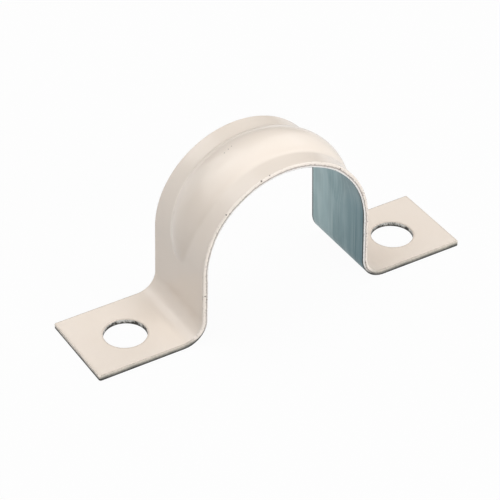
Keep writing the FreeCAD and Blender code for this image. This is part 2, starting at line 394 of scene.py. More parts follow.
@dataclass
class FlatSheet:
    """The closed sheet on its flat pattern, both faces first and then what closes its edges.

    The inner face repeats the painted face's points, and its first point is number inner_start.
    """

    places: list[Place]
    depths: list[float]
    faces: list[list[int]]
    surfaces: list[int]
    inner_start: int

    def close_edge(self, edge: CutEdge, border: list[BorderPoint]) -> None:
        """Closes the sheet along a cut.

        Args:
            edge: the section that the cut leaves.
            border: the painted face's points along the cut.
        """
        rows = [[b.point for b in border]]
        sections = [edge.rings(abs(b.along)) for b in border]
        for level in range(len(sections[0])):
            row = []
            for b, section in zip(border, sections):
                row.append(len(self.places))
                out, deep = section[level]
                s, y = self.places[b.point]
                self.places.append((s + b.along * out, y + b.across * out))
                self.depths.append(deep)
            rows.append(row)
        rows.append([b.point + self.inner_start for b in border])
        for band, (upper, lower) in enumerate(zip(rows[:-1], rows[1:])):
            surface = edge.surface_at(band, len(rows) - 1).value
            for i in range(len(border)):
                j = (i + 1) % len(border)
                ring = [upper[i], lower[i], lower[j], upper[j]]
                ring = [v for n, v in enumerate(ring) if v != ring[n - 1]]
                if len(ring) > 2:
                    self.faces.append(ring)
                    self.surfaces.append(surface)


@dataclass
class Strap:
    """The whole strap, one sheet with its rib, holes and cut edges, meshed on its flat pattern.

    A cut edge looks one way on arch and legs and another way on the feet, where painted shade
    darkens its lower part. The turn values say where on the bends that changes, as the share of
    the face's normal that points up. The change leads low on the sheet, where the painted shade
    of the dark break starts sooner than the painted lip ends.
    """

    strip: BentStrip
    rib: PressedRib
    holes: list[ScrewHole]
    outline_edge: CutEdge
    hole_edge: CutEdge
    grid: float = 0.3 * MM
    patch_half: float = 6.0 * MM
    patch_rings: int = 9
    ring_crowding: float = 1.3
    corner_steps: int = 6
    crease: float = math.radians(35)
    left_turn: float = 0.8
    right_turn: float = 0.6
    full_turn: float = 0.97
    low_lead: float = 0.7
    low_power: int = 4
    end_band: float = 0.15 * MM
    points: list[Place] = field(default_factory=list)
    known: dict[tuple[int, int], int] = field(default_factory=dict)
    cells: list[list[int]] = field(default_factory=list)
    loops: list[tuple[CutEdge, list[BorderPoint]]] = field(default_factory=list)

    def _spread(self, start: float, stop: float) -> np.ndarray:
        """Spaces grid lines evenly between two places, the ends among them."""
        return np.linspace(start, stop, max(2, round((stop - start) / self.grid) + 1))

    def _point(self, place: Place) -> int:
        """Finds or adds the point at a place of the flat pattern."""
        key = (round(place[0] / SAME_PLACE), round(place[1] / SAME_PLACE))
        if key not in self.known:
            self.known[key] = len(self.points)
            self.points.append((float(place[0]), float(place[1])))
        return self.known[key]

    def _grid_patch(self, along: np.ndarray, across: np.ndarray) -> None:
        """Adds a rectangle of cells.

        Args:
            along: the places of its lines along the strip.
            across: the places of its lines across the strip.
        """
        for s0, s1 in zip(along[:-1], along[1:]):
            for y0, y1 in zip(across[:-1], across[1:]):
                corners = [(s0, y0), (s1, y0), (s1, y1), (s0, y1)]
                self.cells.append([self._point(c) for c in corners])

    def _hole_patch(self, hole: ScrewHole, along: np.ndarray, across: np.ndarray) -> None:
        """Fills a rectangle round a hole with rings that turn from its circle to its sides.

        Args:
            hole: the hole in the rectangle.
            along: the places of the rectangle's lines along the strip.
            across: the places of its lines across the strip.
        """
        border = [(s, across[0]) for s in along[:-1]] + [(along[-1], y) for y in across[:-1]]
        border += [(s, across[-1]) for s in along[:0:-1]] + [(along[0], y) for y in across[:0:-1]]
        base = hole.radius + self.hole_edge.inset
        rings = []
        for k in range(self.patch_rings + 1):
            share = (k / self.patch_rings) ** self.ring_crowding
            ring = []
            for s, y in border:
                angle = math.atan2(y - hole.across, s - hole.station)
                near = (hole.station + base * math.cos(angle), hole.across + base * math.sin(angle))
                place = (near[0] + (s - near[0]) * share, near[1] + (y - near[1]) * share)
                ring.append(self._point(place))
            rings.append(ring)
        for inner, outer in zip(rings[:-1], rings[1:]):
            for i in range(len(inner)):
                j = (i + 1) % len(inner)
                self.cells.append([inner[i], outer[i], outer[j], inner[j]])
        circle = []
        for i in rings[0]:
            s, y = self.points[i]
            circle.append(BorderPoint(i, (hole.station - s) / base, (hole.across - y) / base))
        self.loops.append((self.hole_edge, circle[::-1]))

    def _outline(self, along: np.ndarray, across: np.ndarray) -> None:
        """Lists the pattern's border with the way out at each point, fanned at the corners.

        Args:
            along: the places of all lines along the strip.
            across: the places of all lines across the strip.
        """
        sides = [
            ([(s, across[0]) for s in along], -90.0),
            ([(along[-1], y) for y in across], 0.0),
            ([(s, across[-1]) for s in along[::-1]], 90.0),
            ([(along[0], y) for y in across[::-1]], 180.0)]
        border = []
        for places, facing in sides:
            for place in places:
                turn = math.radians(facing)
                border.append(BorderPoint(self._point(place), math.cos(turn), math.sin(turn)))
            for k in range(1, self.corner_steps):
                turn = math.radians(facing + 90.0 * k / self.corner_steps)
                border.append(BorderPoint(border[-1].point, math.cos(turn), math.sin(turn)))
        self.loops.append((self.outline_edge, border))

    def lay_out(self) -> None:
        """Meshes the strip's flat pattern, inside the line at which its edges start to roll."""
        inset = self.outline_edge.inset
        end = self.strip.stations[3] - inset
        half = self.strip.width / 2 - inset
        across = self._spread(-half, half)
        marks = [-end]
        for hole in self.holes:
            marks += [hole.station - self.patch_half, hole.station + self.patch_half]
        marks.append(end)
        lines = []
        for i, (start, stop) in enumerate(zip(marks[:-1], marks[1:])):
            along = self._spread(start, stop)
            lines += list(along if i == 0 else along[1:])
            if i % 2:
                self._hole_patch(self.holes[i // 2], along, across)
            else:
                self._grid_patch(along, across)
        self._outline(np.array(lines), across)

    def place(self, pattern: np.ndarray, depth: np.ndarray) -> np.ndarray:
        """Bends points of the flat pattern into the strap's shape.

        Args:
            pattern: places along and across the strip.
            depth: how far each is under the painted face.

        Returns:
            Points in the row frame.
        """
        skin, normal = self.strip.skin(pattern[:, 0])
        rise = np.zeros(len(pattern))
        for level in (0.0, self.strip.sheet):
            here = np.isclose(depth, level, atol=SAME_PLACE)
            rise[here] = self.rib.rise(pattern[here, 0], pattern[here, 1], level)
        out = (rise - depth)[:, None] * normal
        return np.stack([skin[:, 0] + out[:, 0], pattern[:, 1], skin[:, 1] + out[:, 1]], -1)

    def build(self, name: str) -> bpy.types.Object:
        """Makes the strap's mesh.

        Args:
            name: the piece's name.

        Returns:
            The new object, with a flat pattern in its UV map and its cut edges marked.
        """
        self.lay_out()
        count, cells = len(self.points), len(self.cells)
        painted = [list(c) for c in self.cells]
        inner = [[i + count for i in reversed(c)] for c in self.cells]
        sheet = FlatSheet(
            self.points * 2, [0.0] * count + [self.strip.sheet] * count, painted + inner,
            [Surface.PAINTED.value] * cells + [Surface.GALVANISED.value] * cells, count)
        for edge, border in self.loops:
            sheet.close_edge(edge, border)
        flat, depth = np.array(sheet.places), np.array(sheet.depths)
        share = depth / self.strip.sheet
        mesh = bpy.data.meshes.new(name)
        mesh.from_pydata(self.place(flat, depth).tolist(), [], sheet.faces)
        mesh.polygons.foreach_set("material_index", sheet.surfaces)
        mesh.polygons.foreach_set("use_smooth", [True] * len(sheet.faces))
        self._mark(mesh, "depth_share", share)
        self._mark(mesh, "cut_distance", self._cut_distance(flat))
        self._mark(mesh, "foot_share", self._foot_share(flat, share))
        self._mark(mesh, "end_share", self._end_share(flat))
        self._map_pattern(mesh, flat)
        mesh.validate()
        mesh.set_sharp_from_angle(angle=self.crease)
        mesh.update()
        piece = bpy.data.objects.new(name, mesh)
        bpy.context.scene.collection.objects.link(piece)
        return piece

    def dress(self, piece: bpy.types.Object) -> None:
        """Gives the strap its four finishes, in the order of the surfaces' numbers.

        Args:
            piece: the strap's object.
        """
        wear = Wear(self)
        finishes = {
            Surface.PAINTED: CoilPaint(wear), Surface.GALVANISED: GalvanisedSteel(self.strip),
            Surface.SHEARED: ShearedEdge(wear), Surface.PUNCHED: PunchedWall()}
        for surface in Surface:
            piece.data.materials.append(finishes[surface].build())

    def _mark(self, mesh: bpy.types.Mesh, name: str, values: np.ndarray) -> None:
        """Writes one value per point to the mesh, for the finishes to read."""
        marks = mesh.attributes.new(name, "FLOAT", "POINT")
        marks.data.foreach_set("value", values.astype(np.float32))

    def _map_pattern(self, mesh: bpy.types.Mesh, flat: np.ndarray) -> None:
        """Maps the mesh to its flat pattern, at one scale along and across.

        Args:
            mesh: the strap's mesh.
            flat: each point's place along and across the strip.
        """
        layer = mesh.uv_layers.new(name="flat_pattern")
        corners = np.zeros(len(mesh.loops), dtype=np.int32)
        mesh.loops.foreach_get("vertex_index", corners)
        length = self.strip.flat_length
        places = flat[corners] + [length / 2, self.strip.width / 2]
        layer.data.foreach_set("uv", (places / length).ravel())

    def _cut_distance(self, flat: np.ndarray) -> np.ndarray:
        """Distance of each place from the nearest cut edge.

        Args:
            flat: places along and across the strip.

        Returns:
            Distances in millimetres, zero on the walls.
        """
        near = np.minimum(self.strip.stations[3] - np.abs(flat[:, 0]),
                          self.strip.width / 2 - np.abs(flat[:, 1]))
        for hole in self.holes:
            away = np.hypot(flat[:, 0] - hole.station, flat[:, 1] - hole.across) - hole.radius
            near = np.minimum(near, away)
        return np.maximum(near, 0) / MM

    def _foot_share(self, flat: np.ndarray, share: np.ndarray) -> np.ndarray:
        """Tells where a cut edge looks as it does on the feet.

        Args:
            flat: places along and across the strip.
            share: how deep each is, as a share of the sheet.

        Returns:
            One on the feet, nothing on arch and legs, and shares on the bends.
        """
        _, normal = self.strip.skin(flat[:, 0])
        start = np.where(flat[:, 0] < 0, self.left_turn, self.right_turn)
        lead = self.low_lead * share ** self.low_power
        turned = (normal[:, 1] - start + lead) / (self.full_turn - start)
        return np.clip(turned, 0, 1) * (np.abs(flat[:, 0]) > self.strip.stations[1])

    def _end_share(self, flat: np.ndarray) -> np.ndarray:
        """Tells where a place is on the cut across a foot's end.

        Args:
            flat: places along and across the strip.

        Returns:
            One within the end band, and nothing from twice its width on.
        """
        to_end = self.strip.stations[3] - np.abs(flat[:, 0])
        return np.clip(2 - to_end / self.end_band, 0, 1)


@dataclass(frozen=True)
class Chip:
    """A chip or rub mark, by its place along and across the strip, its depth and its radius.

    All four are in millimetres. Along is negative left of the crown, across is negative toward
    the edge that the photograph shows, and the depth is measured under the painted face.
    """

    along: float
    across: float
    depth: float
    radius: float


@dataclass(frozen=True)
class Wear:
    """The chips along the cut edge and the rub marks on the rib's ridge, as one ragged mask.

    They are sheared or knocked-off flecks of paint that show the grey metal under it. Their
    grain is how far apart the dents of a ragged outline are.
    """

    strap: Strap
    chips: tuple[Chip, ...] = (
        Chip(-5.5, -8.4, 0.1, 0.19), Chip(-3.75, -8.3, 0.0, 0.14), Chip(-13.8, -8.4, 0.1, 0.16),
        Chip(-13.3, -8.5, 0.5, 0.16), Chip(11.5, -8.5, 0.35, 0.2), Chip(20.6, -8.5, 0.1, 0.17),
        Chip(22.2, -8.5, 0.15, 0.12), Chip(24.4, -8.5, 0.1, 0.17), Chip(26.2, -8.5, 0.1, 0.13),
        Chip(27.3, -8.5, 0.15, 0.18), Chip(29.8, -8.5, 0.4, 0.12), Chip(33.0, -8.5, 0.3, 0.12),
        Chip(36.3, -8.5, 0.5, 0.18), Chip(37.4, -8.5, 0.7, 0.15), Chip(-30.6, -8.5, 0.4, 0.17),
        Chip(-31.4, -8.5, 0.7, 0.16), Chip(-31.9, -8.5, 0.6, 0.12), Chip(-38.9, -8.4, 0.2, 0.15),
        Chip(-39.7, -8.4, 0.4, 0.13), Chip(-6.8, 0.7, 0.0, 0.09),
        Chip(-5.9, 0.9, 0.0, 0.1), Chip(-5.2, 1.1, 0.0, 0.09))
    ragged: float = 0.11 * MM
    grain: float = 0.22 * MM
    core_share: float = 0.6
    bared: str = "6d625c"

    def mask(self, tree: bpy.types.NodeTree, place: bpy.types.NodeSocket) -> bpy.types.NodeSocket:
        """Adds the nodes that mark the chips.

        Args:
            tree: the node tree of a finish.
            place: the socket that gives each point of the object.

        Returns:
            The socket that is one inside a chip.
        """
        spots = np.array([(c.along, c.across) for c in self.chips]) * MM
        deep = np.array([c.depth for c in self.chips]) * MM
        rough = add_node(tree, "ShaderNodeTexNoise", {"Scale": 1 / self.grain, "Detail": 1.0},
                         {"Vector": place})
        stirred = add_node(tree, "ShaderNodeVectorMath", {
            "operation": "MULTIPLY_ADD", 1: (2 * self.ragged,) * 3},
            {0: rough.outputs["Color"], 2: place})
        found = None
        for chip, centre in zip(self.chips, self.strap.place(spots, deep)):
            away = add_node(tree, "ShaderNodeVectorMath", {
                "operation": "DISTANCE", 1: tuple(centre + self.ragged)},
                {0: stirred.outputs["Vector"]})
            inside = add_node(tree, "ShaderNodeMapRange", {
                "From Min": chip.radius * MM, "From Max": self.core_share * chip.radius * MM},
                {"Value": away.outputs["Value"]}).outputs["Result"]
            if found:
                inside = add_node(tree, "ShaderNodeMath", {"operation": "MAXIMUM"},
                                  {0: found, 1: inside}).outputs[0]
            found = inside
        return found


@dataclass(frozen=True)
class CoilPaint:
    """Polyester coil paint on galvanised sheet: a smooth cream coat with a soft gloss.

    The rollers that lay it leave a faint clouding and a fine orange peel, and shearing leaves
    the coat thin and a little grey along the cut, over the thin band in millimetres.
    """

    # To the eye: an even cream, a soft bright band along the rib and a faint tooth in it. Real
    # orange peel is about half a millimetre across, too fine to show, so it is drawn coarser.
    wear: Wear
    cream: str = "ece2d8"
    warm_cream: str = "e8dccf"
    cloud: float = 9 * MM
    ior: float = 1.5
    roughness: float = 0.2
    gloss_spread: Span = (-0.03, 0.05)
    orange_peel: float = 1.4 * MM
    peel_depth: float = 0.0015 * MM
    thin_coat: str = "b9ada0"
    thin_band: float = 0.4
    thin_strength: float = 0.6
    pit_depth: float = 0.05 * MM

    def build(self) -> bpy.types.Material:
        """Makes the paint.

        Returns:
            The material.
        """
        material, shader = start_material("cream_coil_paint", 0.0)
        tree = material.node_tree
        shader.inputs["IOR"].default_value = self.ior
        place = add_node(tree, "ShaderNodeTexCoord").outputs["Object"]
        cut = add_node(tree, "ShaderNodeAttribute", {"attribute_name": "cut_distance"})
        clouds = add_node(tree, "ShaderNodeTexNoise",
                          {"Scale": 1 / self.cloud, "Detail": 3.0}, {"Vector": place})
        shade = add_node(tree, "ShaderNodeMix", {
            "data_type": "RGBA", 6: linear(self.cream), 7: linear(self.warm_cream)},
            {0: clouds.outputs["Fac"]})
        thin = add_node(tree, "ShaderNodeMapRange", {
            "From Max": self.thin_band, "To Min": self.thin_strength, "To Max": 0.0},
            {"Value": cut.outputs["Fac"]})
        coat = add_node(tree, "ShaderNodeMix", {"data_type": "RGBA", 7: linear(self.thin_coat)},
                        {0: thin.outputs["Result"], 6: shade.outputs[2]})
        chipped = self.wear.mask(tree, place)
        worn = add_node(tree, "ShaderNodeMix", {"data_type": "RGBA", 7: linear(self.wear.bared)},
                        {0: chipped, 6: coat.outputs[2]})
        tree.links.new(worn.outputs[2], shader.inputs["Base Color"])
        peel = add_node(tree, "ShaderNodeTexNoise",
                        {"Scale": 1 / self.orange_peel, "Detail": 1.0}, {"Vector": place})
        skin = add_node(tree, "ShaderNodeBump", {"Distance": self.peel_depth},
                        {"Height": peel.outputs["Fac"]})
        pit = add_node(tree, "ShaderNodeBump", {"Distance": self.pit_depth, "invert": True},
                       {"Height": chipped, "Normal": skin.outputs["Normal"]})
        tree.links.new(pit.outputs["Normal"], shader.inputs["Normal"])
        least, most = self.gloss_spread
        gloss = add_node(tree, "ShaderNodeMapRange", {
            "To Min": self.roughness + least, "To Max": self.roughness + most},
            {"Value": clouds.outputs["Fac"]})
        tree.links.new(gloss.outputs["Result"], shader.inputs["Roughness"])
        return material


@dataclass(frozen=True)
class GalvanisedSteel:
    """Hot-dip galvanised sheet, rolled flat: a dull blue-grey zinc face.

    The rolls leave faint lines along the strip, and the zinc has dulled in soft patches. Painted
    reflection and shade darken it toward the near edge and lighten it toward the far one and high
    in the arch, and painted shade darkens the inner corner along a cut. The lit top range is in
    heights of the arch's centre, and the corner shade range in millimetres from the cut.
    """

    # To the eye: drawn metal and not a mirror, with fine bright lines up the leg. The real lines
    # are under 0.1 mm apart, too fine to show, so they are drawn coarser.
    strip: BentStrip
    near_zinc_shaded: str = "738e96"
    far_zinc_lit: str = "b2c7c9"
    lit_top_range: Span = (1.05, 1.6)
    lit_top_share: float = 0.25
    dull_zinc: str = "6a868c"
    patch: float = 3.4 * MM
    patch_length: float = 14 * MM
    dull_range: Span = (0.4, 0.75)
    dull_strength: float = 0.55
    line: str = "c4d3d3"
    line_width: float = 0.38 * MM
    line_length: float = 22 * MM
    band_width: float = 1.9 * MM
    line_range: Span = (0.2, 0.45)
    line_strength: float = 0.42
    line_depth: float = 0.004 * MM
    corner_shade: str = "1f2628"
    corner_shade_range: Span = (0.55, 0.25)
    corner_shade_strength: float = 0.8
    roughness: float = 0.4
    gloss_spread: Span = (-0.06, 0.08)

    def build(self) -> bpy.types.Material:
        """Makes the zinc face.

        Returns:
            The material.
        """
        material, shader = start_material("galvanised_sheet", 1.0)
        tree = material.node_tree
        space = add_node(tree, "ShaderNodeTexCoord")
        run, half = self.strip.flat_length, self.strip.width / 2
        centre = self.strip.arch_centre_height
        grooves = []
        for width in (self.line_width, self.band_width):
            drawn = add_node(tree, "ShaderNodeMapping", {
                "Scale": (run / self.line_length, run / width, 1.0)},
                {"Vector": space.outputs["UV"]})
            grooves.append(add_node(tree, "ShaderNodeTexNoise", {"Scale": 1.0, "Detail": 2.0},
                                    {"Vector": drawn.outputs["Vector"]}).outputs["Fac"])
        position = add_node(tree, "ShaderNodeSeparateXYZ", {}, {"Vector": space.outputs["Object"]})
        away = add_node(tree, "ShaderNodeMapRange", {"From Min": -half, "From Max": half},
                        {"Value": position.outputs["Y"]})
        # Painted reflection and shade: the zinc darker toward the near edge, lighter toward the far
        # edge.
        sides = add_node(tree, "ShaderNodeMix", {
            "data_type": "RGBA", 6: linear(self.near_zinc_shaded), 7: linear(self.far_zinc_lit)},
            {0: away.outputs["Result"]})
        # Painted light: the zinc is lighter high in the arch.
        up = add_node(tree, "ShaderNodeMapRange", {
            "From Min": self.lit_top_range[0] * centre, "From Max": self.lit_top_range[1] * centre,
            "To Max": self.lit_top_share}, {"Value": position.outputs["Z"]})
        ground = add_node(tree, "ShaderNodeMix", {"data_type": "RGBA", 7: linear(self.far_zinc_lit)},
                          {0: up.outputs["Result"], 6: sides.outputs[2]})
        drawn = add_node(tree, "ShaderNodeMapping", {
            "Scale": (run / self.patch_length, run / self.patch, 1.0)},
            {"Vector": space.outputs["UV"]})
        patches = add_node(tree, "ShaderNodeTexNoise", {"Scale": 1.0, "Detail": 3.0},
                           {"Vector": drawn.outputs["Vector"]})
        dulling = add_node(tree, "ShaderNodeMapRange", {
            "From Min": self.dull_range[0], "From Max": self.dull_range[1],
            "To Max": self.dull_strength}, {"Value": patches.outputs["Fac"]})
        dull = add_node(tree, "ShaderNodeMix", {"data_type": "RGBA", 7: linear(self.dull_zinc)},
                        {0: dulling.outputs["Result"], 6: ground.outputs[2]})
        both = add_node(tree, "ShaderNodeMath", {"operation": "MULTIPLY"},
                        {0: grooves[0], 1: grooves[1]})
        bright = add_node(tree, "ShaderNodeMapRange", {
            "From Min": self.line_range[0], "From Max": self.line_range[1],
            "To Max": self.line_strength}, {"Value": both.outputs[0]})
        face = add_node(tree, "ShaderNodeMix", {"data_type": "RGBA", 7: linear(self.line)},
                        {0: bright.outputs["Result"], 6: dull.outputs[2]})
        # Painted shade: a dark line on the zinc in the inner corner along each cut.
        cut = add_node(tree, "ShaderNodeAttribute", {"attribute_name": "cut_distance"})
        pressed = add_node(tree, "ShaderNodeMapRange", {
            "From Min": self.corner_shade_range[0], "From Max": self.corner_shade_range[1],
            "To Max": self.corner_shade_strength}, {"Value": cut.outputs["Fac"]})
        corner_shaded = add_node(tree, "ShaderNodeMix", {"data_type": "RGBA", 7: linear(self.corner_shade)},
                           {0: pressed.outputs["Result"], 6: face.outputs[2]})
        tree.links.new(corner_shaded.outputs[2], shader.inputs["Base Color"])
        least, most = self.gloss_spread
        gloss = add_node(tree, "ShaderNodeMapRange", {
            "To Min": self.roughness + least, "To Max": self.roughness + most},
            {"Value": patches.outputs["Fac"]})
        tree.links.new(gloss.outputs["Result"], shader.inputs["Roughness"])
        scores = add_node(tree, "ShaderNodeBump", {"Distance": self.line_depth},
                          {"Height": grooves[0]})
        tree.links.new(scores.outputs["Normal"], shader.inputs["Normal"])
        return material


@dataclass(frozen=True)
class ShearedEdge:
    """The edge a shear leaves: paint drawn down over the corner, then bare bitten steel.

    On the upright parts the paint reaches nearly through, with one thin grey line under it, and
    further still on the left leg. On the feet it stops high, and the break below is bare steel,
    darkened toward the bottom by painted shade. Each list gives the colour at shares of the
    sheet's depth.
    """

    # To the eye: a pale lip with a fine dark line on the legs, and on the feet a dark underline of
    # bare steel and painted shade.
    # Real bite marks are about 0.1 mm across, too fine to show, so they are drawn coarser.
    wear: Wear
    upright: Stops = (
        (0.0, "ece2d8"), (0.38, "ece3d9"), (0.5, "b0a59e"), (0.58, "9c918b"), (0.72, "e0dbd6"),
        (0.88, "f4f3f0"), (1.0, "b9bab7"))
    # On the feet the wall darkens toward the bottom: bare steel, and painted shade near the floor.
    foot: Stops = (
        (0.0, "c8bfb2"), (0.25, "aca69b"), (0.45, "88857d"), (0.64, "605f58"), (0.78, "2b2c28"),
        (1.0, "1f201d"))
    end: Stops = (
        (0.0, "e6dcd0"), (0.4, "dfd5c9"), (0.52, "a09b92"), (0.64, "4b4a45"), (0.8, "34342f"),
        (1.0, "4a4a45"))
    roughness: float = 0.45
    bite: float = 0.4 * MM
    bite_depth: float = 0.02 * MM
    bite_share: float = 0.2
    waver: float = 3.2 * MM
    waver_share: float = 0.16
    left_reach: float = 0.2
    reach_start: float = 0.85
    fleck: str = "7c7069"
    fleck_range: Span = (0.55, 0.75)
    fleck_strength: float = 0.4

    def _depth(self, tree: bpy.types.NodeTree, place: bpy.types.NodeSocket,
               bites: bpy.types.Node) -> tuple[bpy.types.NodeSocket, bpy.types.NodeSocket]:
        """Adds the nodes that give the depth in the sheet, shifted so that no line runs true.

        Args:
            tree: the material's node tree.
            place: the socket that gives each point of the object.
            bites: the noise of the bite marks.

        Returns:
            The depth's share of the sheet, for the feet and for the upright parts.
        """
        down = add_node(tree, "ShaderNodeAttribute",
                        {"attribute_name": "depth_share"}).outputs["Fac"]
        waves = add_node(tree, "ShaderNodeTexNoise", {"Scale": 1 / self.waver, "Detail": 1.0},
                         {"Vector": place})
        for noise, share in ((bites, self.bite_share), (waves, self.waver_share)):
            shift = add_node(tree, "ShaderNodeMapRange", {"To Min": -share, "To Max": share},
                             {"Value": noise.outputs["Fac"]})
            down = add_node(tree, "ShaderNodeMath", {"operation": "ADD"},
                            {0: down, 1: shift.outputs["Result"]}).outputs[0]
        outer = self.wear.strap.strip.outer_radius
        position = add_node(tree, "ShaderNodeSeparateXYZ", {}, {"Vector": place})
        lower = add_node(tree, "ShaderNodeMapRange", {
            "From Min": -outer, "From Max": -self.reach_start * outer,
            "To Min": -self.left_reach, "To Max": 0.0}, {"Value": position.outputs["X"]})
        upright = add_node(tree, "ShaderNodeMath", {"operation": "ADD"},
                           {0: down, 1: lower.outputs["Result"]}).outputs[0]
        return down, upright

    def build(self) -> bpy.types.Material:
        """Makes the cut edge.

        Returns:
            The material.
        """
        material, shader = start_material("sheared_edge", 0.0)
        tree = material.node_tree
        shader.inputs["Roughness"].default_value = self.roughness
        place = add_node(tree, "ShaderNodeTexCoord").outputs["Object"]
        bites = add_node(tree, "ShaderNodeTexNoise",
                         {"Scale": 1 / self.bite, "Detail": 3.0, "Roughness": 0.65},
                         {"Vector": place})
        down, upright = self._depth(tree, place, bites)
        ramps = []
        for stops, level in ((self.upright, upright), (self.foot, down), (self.end, down)):
            ramp = add_node(tree, "ShaderNodeValToRGB", {}, {"Fac": level})
            marks = ramp.color_ramp.elements
            for share, colour in stops[1:-1]:
                marks.new(share).color = linear(colour)
            marks[0].position, marks[0].color = stops[0][0], linear(stops[0][1])
            marks[-1].position, marks[-1].color = stops[-1][0], linear(stops[-1][1])
            ramps.append(ramp.outputs["Color"])
        # The foot_share mix brings in the foot list, with its painted shade low on the wall.
        flat = add_node(tree, "ShaderNodeAttribute", {"attribute_name": "foot_share"})
        sides = add_node(tree, "ShaderNodeMix", {"data_type": "RGBA"}, {
            0: flat.outputs["Fac"], 6: ramps[0], 7: ramps[1]})
        last = add_node(tree, "ShaderNodeAttribute", {"attribute_name": "end_share"})
        tint = add_node(tree, "ShaderNodeMix", {"data_type": "RGBA"}, {
            0: last.outputs["Fac"], 6: sides.outputs[2], 7: ramps[2]})
        flaked = add_node(tree, "ShaderNodeMapRange", {
            "From Min": self.fleck_range[0], "From Max": self.fleck_range[1],
            "To Max": self.fleck_strength}, {"Value": bites.outputs["Fac"]})
        flecked = add_node(tree, "ShaderNodeMix", {"data_type": "RGBA", 7: linear(self.fleck)},
                           {0: flaked.outputs["Result"], 6: tint.outputs[2]})
        worn = add_node(tree, "ShaderNodeMix", {"data_type": "RGBA", 7: linear(self.wear.bared)},
                        {0: self.wear.mask(tree, place), 6: flecked.outputs[2]})
        tree.links.new(worn.outputs[2], shader.inputs["Base Color"])
        bump = add_node(tree, "ShaderNodeBump", {"Distance": self.bite_depth},
                        {"Height": bites.outputs["Fac"]})
        tree.links.new(bump.outputs["Normal"], shader.inputs["Normal"])
        return material


@dataclass(frozen=True)
class PunchedWall:
    """The wall a punch leaves in a hole: steel burnished bright in places and broken dark below.

    A place is burnished where the smears outdo the level, which rises with the share of the
    sheet's depth and with the tears.
    """

    # To the eye: a bright grey smear at the top that breaks up into dark steel. Real tear marks
    # are about 0.1 mm across, too fine to show, so they are drawn coarser.
    burnished: str = "dad8d3"
    broken: str = "4c4a45"
    roughness: float = 0.45
    smear: float = 1.5 * MM
    tear: float = 0.3 * MM
    tear_depth: float = 0.02 * MM
    tear_share: float = 0.8
    depth_range: Span = (0.2, 1.0)
    level_range: Span = (0.15, 0.6)
    polish_range: Span = (-0.34, 0.02)

    def build(self) -> bpy.types.Material:
        """Makes the hole's wall.

        Returns:
            The material.
        """
        material, shader = start_material("punched_wall", 1.0)
        tree = material.node_tree
        shader.inputs["Roughness"].default_value = self.roughness
        place = add_node(tree, "ShaderNodeTexCoord").outputs["Object"]
        depth = add_node(tree, "ShaderNodeAttribute", {"attribute_name": "depth_share"})
        smears = add_node(tree, "ShaderNodeTexNoise", {"Scale": 1 / self.smear, "Detail": 2.0},
                          {"Vector": place})
        tears = add_node(tree, "ShaderNodeTexNoise", {"Scale": 1 / self.tear, "Detail": 2.0},
                         {"Vector": place})
        level = add_node(tree, "ShaderNodeMapRange", {
            "From Min": self.depth_range[0], "From Max": self.depth_range[1],
            "To Min": self.level_range[0], "To Max": self.level_range[1]},
            {"Value": depth.outputs["Fac"]})
        rough = add_node(tree, "ShaderNodeMath", {"operation": "MULTIPLY_ADD", 1: self.tear_share},
                         {0: tears.outputs["Fac"], 2: level.outputs["Result"]})
        left = add_node(tree, "ShaderNodeMath", {"operation": "SUBTRACT"},
                        {0: smears.outputs["Fac"], 1: rough.outputs[0]})
        polished = add_node(tree, "ShaderNodeMapRange", {
            "From Min": self.polish_range[0], "From Max": self.polish_range[1]},
            {"Value": left.outputs[0]})
        tint = add_node(tree, "ShaderNodeMix", {
            "data_type": "RGBA", 6: linear(self.broken), 7: linear(self.burnished)},
            {0: polished.outputs["Result"]})
        tree.links.new(tint.outputs[2], shader.inputs["Base Color"])
        bump = add_node(tree, "ShaderNodeBump", {"Distance": self.tear_depth},
                        {"Height": tears.outputs["Fac"]})
        tree.links.new(bump.outputs["Normal"], shader.inputs["Normal"])
        return material


@dataclass(frozen=True)
class SoftBox:
    """A square soft box on a dome round the strap.

    The azimuth and elevation are in degrees, from the right and from the floor, the side is in
    metres and the power in watts.
    """

    name: str
    azimuth: float
    elevation: float
    side: float
    power: float


